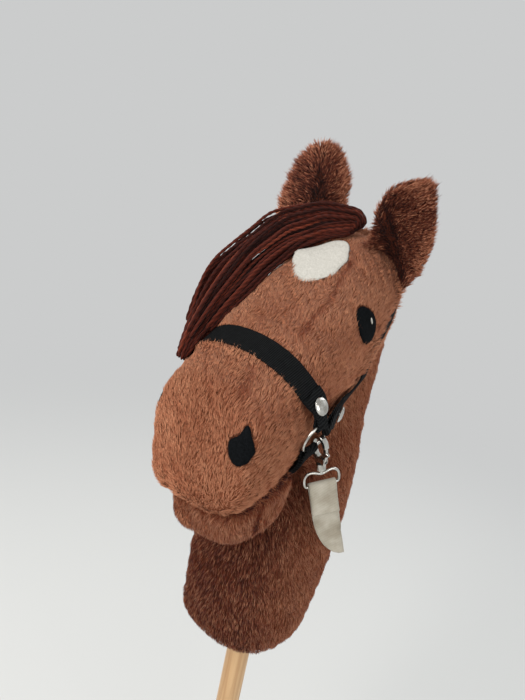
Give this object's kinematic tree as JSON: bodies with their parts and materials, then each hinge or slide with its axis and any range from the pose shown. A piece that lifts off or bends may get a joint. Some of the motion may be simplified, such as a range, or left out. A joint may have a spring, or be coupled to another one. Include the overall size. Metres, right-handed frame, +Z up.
{
  "type": "hobby horse",
  "caption": "Plush horse head and neck on a wooden stick, with a webbing halter, side rings and a swivel lead clip with a short tab.",
  "frame": {"origin": "centre of the stick's lower end face, on the floor", "axes": "+Z up along the stick, -Y the way the horse looks, +X its left side"},
  "size_m": [0.1698, 0.2633, 0.8964],
  "materials": {
    "plush": "short combed red-brown fur fabric",
    "yarn": "dark brown twisted wool yarn",
    "white_felt": "off-white felt",
    "black_felt": "black felt",
    "webbing": "black woven webbing",
    "nickel_plate": "bright nickel plate, lightly worn",
    "tape": "cream cotton tape",
    "lining_cloth": "plain brown lining cloth",
    "turned_wood": "clear finished beech"
  },
  "bodies": {
    "pole": {"stick": "turned_wood"},
    "head": {"stick_sleeve": "lining_cloth", "head": "plush", "neck": "plush", "lower_jaw": "plush", "ear_left": "plush", "ear_right": "plush", "forelock": "yarn", "mane": "yarn", "star": "white_felt", "eye_left": "black_felt", "eye_right": "black_felt", "eye_glint_left": "white_felt", "eye_glint_right": "white_felt", "nostril_left": "black_felt", "nostril_right": "black_felt", "noseband": "webbing", "headpiece": "webbing", "chin_strap": "webbing", "stud_noseband_left": "nickel_plate", "stud_noseband_right": "nickel_plate", "stud_cheek_left": "nickel_plate", "stud_cheek_right": "nickel_plate", "stud_back_noseband_left": "nickel_plate", "stud_back_noseband_right": "nickel_plate", "stud_back_cheek_left": "nickel_plate", "stud_back_cheek_right": "nickel_plate"},
    "ring_left": {"ring_left": "nickel_plate"},
    "ring_right": {"ring_right": "nickel_plate"},
    "clip": {"snap_body": "nickel_plate", "snap_gate_pin": "nickel_plate"},
    "gate": {"snap_gate": "nickel_plate"},
    "swivel": {"snap_eye": "nickel_plate"},
    "tab": {"tab": "tape"}
  },
  "joints": [
    {"name": "head_lift", "type": "slide", "parent": "pole", "child": "head", "axis": [0, 0, 1], "range_m": [0, 0.215]},
    {"name": "ring_left_turn", "type": "hinge", "parent": "head", "child": "ring_left", "pos_m": [0.06513, -0.06714, 0.66819], "axis": [0.9621, -0.05, -0.268], "continuous": true},
    {"name": "ring_right_turn", "type": "hinge", "parent": "head", "child": "ring_right", "pos_m": [-0.06513, -0.06714, 0.66819], "axis": [-0.9621, -0.05, -0.268], "continuous": true},
    {"name": "clip_swing", "type": "hinge", "parent": "head", "child": "clip", "pos_m": [0.06358, -0.05643, 0.66063], "axis": [-0.246, -0.5829, -0.7744], "range_deg": [-3, 60]},
    {"name": "gate_press", "type": "hinge", "parent": "clip", "child": "gate", "pos_m": [0.07064, -0.05427, 0.64736], "axis": [-0.2361, -0.9312, -0.2777], "range_deg": [0, 20], "stiffness_Nm_per_rad": 0.02, "springref_deg": -20.05},
    {"name": "swivel_turn", "type": "hinge", "parent": "clip", "child": "swivel", "pos_m": [0.06809, -0.05182, 0.64132], "axis": [-0.1513, -0.2471, 0.9571], "continuous": true},
    {"name": "tab_swing", "type": "hinge", "parent": "swivel", "child": "tab", "pos_m": [0.07086, -0.04731, 0.62385], "axis": [-0.5974, -0.7486, -0.2877], "range_deg": [-5, 60]}
  ]
}
